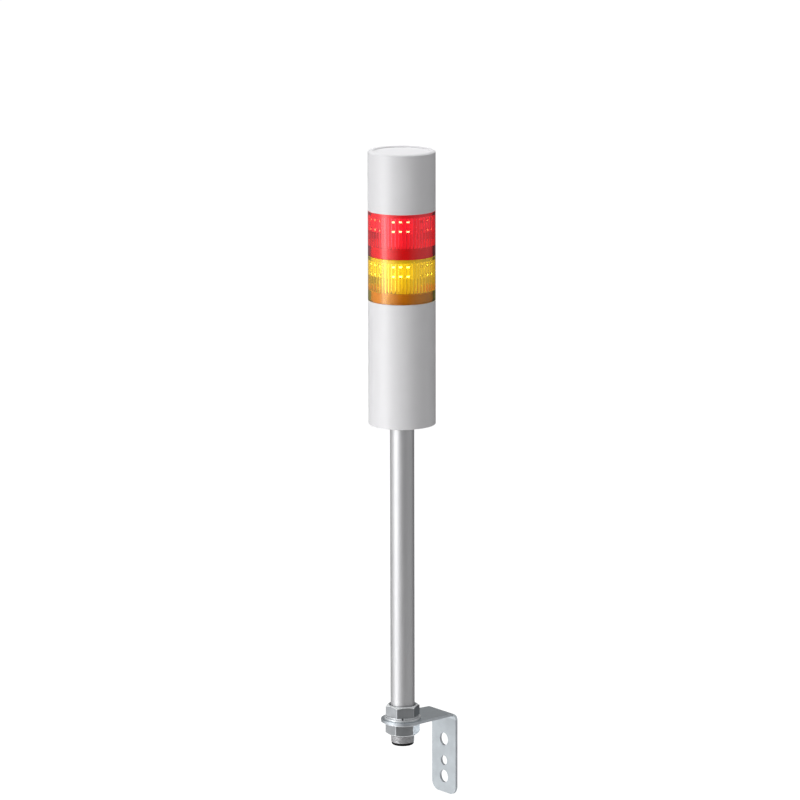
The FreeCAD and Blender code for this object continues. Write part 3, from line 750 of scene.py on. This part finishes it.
lens_bore = 27.5 * mm
seam_ease = 0.3 * mm
seam_gap = 0.05 * mm
flute_count = 56
flute_phase = math.radians(1.5)
flute_depth = 0.7 * mm
flute_foot = 9.5 * mm
flute_head = 3.3 * mm
flute_run_out = 0.2 * mm
flute_margin = 0.1 * mm
bore_margin = 0.02 * mm
facets = 6
half_flute = math.radians(180) / flute_count * lens_bore
flute_round = (half_flute ** 2 + flute_depth ** 2) / (2 * flute_depth)
for unit, colour, shadow_tint, painted_glow in (
        ("amber", (0.94, 0.75, 0.05), (0.98, 0.85, 0.1), (0.11, 0.072, 0.0)),
        ("red", (0.96, 0.06, 0.10), (0.97, 0.1, 0.18), (0.11, 0.001, 0.007))):
    low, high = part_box(unit + "_lens")
    foot, head = low.z + flute_foot, high.z - flute_head
    lens = turn(unit + "_lens_shell", [
        (lens_bore, low.z + seam_gap),
        (high.x - seam_ease, low.z + seam_gap),
        (high.x, low.z + seam_gap + seam_ease),
        (high.x, high.z - seam_ease),
        (high.x - seam_ease, high.z),
        (lens_bore, high.z),
        (lens_bore, head),
        (lens_bore, head - flute_run_out),
        (lens_bore, foot + flute_run_out),
        (lens_bore, foot),
    ], steps=flute_count * facets)
    lens.data.materials.append(lens_plastic(
        unit + "_lens_plastic", colour, shadow_tint, roughness=0.03, polish=0.15, painted_glow=(0, 0, 0)))
    # The flute faces carry a faint painted glow, in place of the LEDs' light caught in the plastic.
    lens.data.materials.append(lens_plastic(
        unit + "_flute_plastic", colour, shadow_tint, roughness=0.12, polish=0.0, painted_glow=painted_glow))
    pick_up(lens)
    swing(flute_phase, foot)
    for facet in range(1, facets):
        across = half_flute * (2 * facet / facets - 1)
        rise = math.sqrt(flute_round ** 2 - across ** 2) - flute_round + flute_depth
        pick("VERT", lambda p: foot + flute_margin < p.z < head - flute_margin
             and from_pole(p) < lens_bore + flute_margin and flute_step(p) == facet)
        inward = 1 - rise / lens_bore
        bpy.ops.transform.resize(value=(inward, inward, 1), center_override=(0, pole_y, foot))
    coat(lens, 1, lambda p: from_pole(p) < lens_bore - bore_margin and foot < p.z < head)
    put_down(lens)
    shade(lens, 40)
    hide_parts(unit + "_lens")
    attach(lens, unit + "_unit")


# ---- Sounder ----
# A brass disc under the roof of the head, in a plastic ring that gives it its air space, with its
# board and a step-up coil on the head's base.
dress(brass, "sounder_disc")
dress(socket_plastic, "sounder_ring")
dress(laminate, "sounder_board")
dress(soft_rubber("coil_sleeve", 0.025), "sounder_coil")


# ---- Head cover ----
# A tall cap moulded in the same white plastic as the body, with a rounded shoulder and a shallow dish
# in its top.
dress(white_shell, "head_cover")


# ---- Studio ----
# A pale floor below the light, a tall soft lamp on its left, weak ones in front, behind and above, and a
# curved paper wall round it all for the gloss of the metal and the lenses.
def around(angle, distance, level):
    """A place round the pole, at an angle to the right of the camera as seen from the front."""
    turned = camera_side - math.radians(90) + math.radians(angle)
    return Vector((distance * math.cos(turned), pole_y + distance * math.sin(turned), level))


def soft_lamp(name, place, target, width, height, brightness):
    """A soft box that faces a target. Its light falls on things, but it isn't seen itself."""
    box = bpy.data.lights.new(name, "AREA")
    box.shape = "RECTANGLE"
    box.size, box.size_y = width, height
    box.energy = brightness * math.pi * width * height
    lamp = bpy.data.objects.new(name, box)
    lamp.location = place
    lamp.rotation_euler = (target - place).to_track_quat("-Z", "Y").to_euler()
    lamp.visible_camera = False
    lamp.visible_transmission = False
    lamp.visible_glossy = False
    bpy.context.scene.collection.objects.link(lamp)


def seen(tree, first, *others):
    """One for rays of these kinds, and nothing for the light that falls on things."""
    path = tree.nodes.new("ShaderNodeLightPath")
    total = path.outputs[first]
    for ray in others:
        add = tree.nodes.new("ShaderNodeMath")
        add.operation = "ADD"
        add.use_clamp = True
        tree.links.new(total, add.inputs[0])
        tree.links.new(path.outputs[ray], add.inputs[1])
        total = add.outputs["Value"]
    return total


# The floor lies well below the object. Near by it shows its own shade, and far off it pales to the
# white of the backdrop, so that it has no edge.
camera_side = math.radians(51.5)
sight = ("Is Camera Ray", "Is Glossy Ray", "Is Transmission Ray")
floor_drop = 0.5
floor_level = bracket_low.z - floor_drop
near, far = 0.3, 1.7
glow_near, glow_far = 0.16, 0.8
floor = begin(bpy.ops.mesh.primitive_plane_add, "floor", size=60, location=(0, 0, floor_level))
put_down(floor)
paper, tree, shader, place = new_finish("floor_paper", (0.85, 0.85, 0.85), 0.8)
shader.inputs["Specular IOR Level"].default_value = 0.0
shader.inputs["Emission Color"].default_value = (1, 1, 1, 1)
away = tree.nodes.new("ShaderNodeVectorMath")
away.operation = "LENGTH"
tree.links.new(place, away.inputs[0])
pale = tree.nodes.new("ShaderNodeMath")
pale.operation = "MULTIPLY"
tree.links.new(seen(tree, *sight), pale.inputs[0])
paling = follow(tree, away.outputs["Value"], near, far, glow_near, glow_far, "SMOOTHSTEP")
tree.links.new(paling, pale.inputs[1])
tree.links.new(pale.outputs["Value"], shader.inputs["Emission Strength"])
floor.data.materials.append(paper)

# The room gives a soft even light, and looks white.
room_light = 0.29
studio = bpy.data.worlds.new("studio")
bpy.context.scene.world = studio
studio.use_nodes = True
tree = studio.node_tree
sky = tree.nodes["Background"]
sky.inputs["Color"].default_value = (1, 1, 1, 1)
sky.inputs["Strength"].default_value = room_light
backdrop = tree.nodes.new("ShaderNodeBackground")
backdrop.inputs["Color"].default_value = (1, 1, 1, 1)
backdrop.inputs["Strength"].default_value = 1.0
surface = swap(tree, seen(tree, *sight), sky.outputs["Background"], backdrop.outputs["Background"])
tree.links.new(surface, tree.nodes["World Output"].inputs["Surface"])

# A curved wall of paper stands round the light. It is seen in gloss alone: bright on the left, dark
# towards the camera, and grading softly from one to the other. Its angles run as those of the lamps.
wall_distance = 1.25
wall_height = 2.0
wall = begin(bpy.ops.mesh.primitive_cylinder_add, "paper_wall", vertices=96, radius=wall_distance,
             depth=wall_height, end_fill_type="NOTHING",
             location=(0, pole_y, floor_level + wall_height / 2))
put_down(wall)
shade(wall)
wall.visible_camera = False
wall.visible_shadow = False
brightest = 4.2
paper, tree, shader, place = new_finish("wall_paper", (0, 0, 0), 1.0)
shader.inputs["Specular IOR Level"].default_value = 0.0
shader.inputs["Emission Strength"].default_value = brightest
from_camera = tree.nodes.new("ShaderNodeMapping")
from_camera.vector_type = "TEXTURE"
from_camera.inputs["Location"].default_value = (0, pole_y, 0)
from_camera.inputs["Rotation"].default_value = (0, 0, camera_side - math.radians(90))
sweep = tree.nodes.new("ShaderNodeTexGradient")
sweep.gradient_type = "RADIAL"
grading = tree.nodes.new("ShaderNodeValToRGB")
grading.color_ramp.interpolation = "EASE"
stops = grading.color_ramp.elements
while len(stops) > 1:
    stops.remove(stops[0])
for angle, brightness in (
        (-170, 0.25), (-150, 0.28), (-128, 0.32), (-105, 0.66), (-88, 0.95), (-75, 1.8), (-66, 4.2),
        (-56, 4.2), (-47, 2.3), (-35, 1.40), (-22, 0.75), (-8, 0.25), (6, 0.10), (22, 0.13),
        (40, 0.38), (65, 0.58), (95, 0.52), (118, 0.26), (132, 0.08), (158, 0.08), (170, 0.30)):
    stop = stops.new(0.5 + angle / 360)
    stop.color = (brightness / brightest,) * 3 + (1,)
stops.remove(stops[len(stops) - 1])
tree.links.new(place, from_camera.inputs["Vector"])
tree.links.new(from_camera.outputs["Vector"], sweep.inputs["Vector"])
tree.links.new(sweep.outputs["Fac"], grading.inputs["Fac"])
tree.links.new(grading.outputs["Color"], shader.inputs["Emission Color"])
nothing = tree.nodes.new("ShaderNodeBsdfTransparent")
surface = swap(tree, seen(tree, "Is Glossy Ray"), nothing.outputs["BSDF"], shader.outputs["BSDF"])
tree.links.new(surface, tree.nodes["Material Output"].inputs["Surface"])
wall.data.materials.append(paper)

# Three soft boxes face the pole from the sides, and one hangs behind the head and faces straight down.
lamp_level = 0.33
target = Vector((0, pole_y, lamp_level))
soft_lamp("tall_left_lamp", around(-61, 1.0, lamp_level), target, 0.5, 1.15, brightness=4.1)
soft_lamp("front_fill", around(10, 0.85, lamp_level), target, 0.5, 1.0, brightness=0.62)
soft_lamp("back_fill", around(180, 1.0, lamp_level), target, 0.6, 1.0, brightness=0.9)
top_back = 0.4
top_rise = 0.8
top_place = around(180, top_back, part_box("head_cover")[1].z + top_rise)
soft_lamp("top_lamp", top_place, top_place - Vector((0, 0, 1)), 0.6, 0.6, brightness=7.8)

# A long lens from far off, a little above the head, tilted down.
camera_distance = 4.0
camera_rise = 1.1093
camera_pitch = math.radians(11.54)
camera_roll = math.radians(-0.12)
camera_shift_right = -1.8 * mm
lens_and_frame = bpy.data.cameras.new("camera")
lens_and_frame.lens = 206.7
lens_and_frame.sensor_width = 36
lens_and_frame.clip_end = 100
camera = bpy.data.objects.new("camera", lens_and_frame)
to_the_right = Vector((math.cos(camera_side), math.sin(camera_side), 0))
camera.location = around(0, camera_distance, arm_top + camera_rise) + camera_shift_right * to_the_right
camera.rotation_euler = (math.radians(90) - camera_pitch, 0, camera_side)
camera.rotation_euler.rotate_axis("Z", camera_roll)
bpy.context.scene.collection.objects.link(camera)
bpy.context.scene.camera = camera
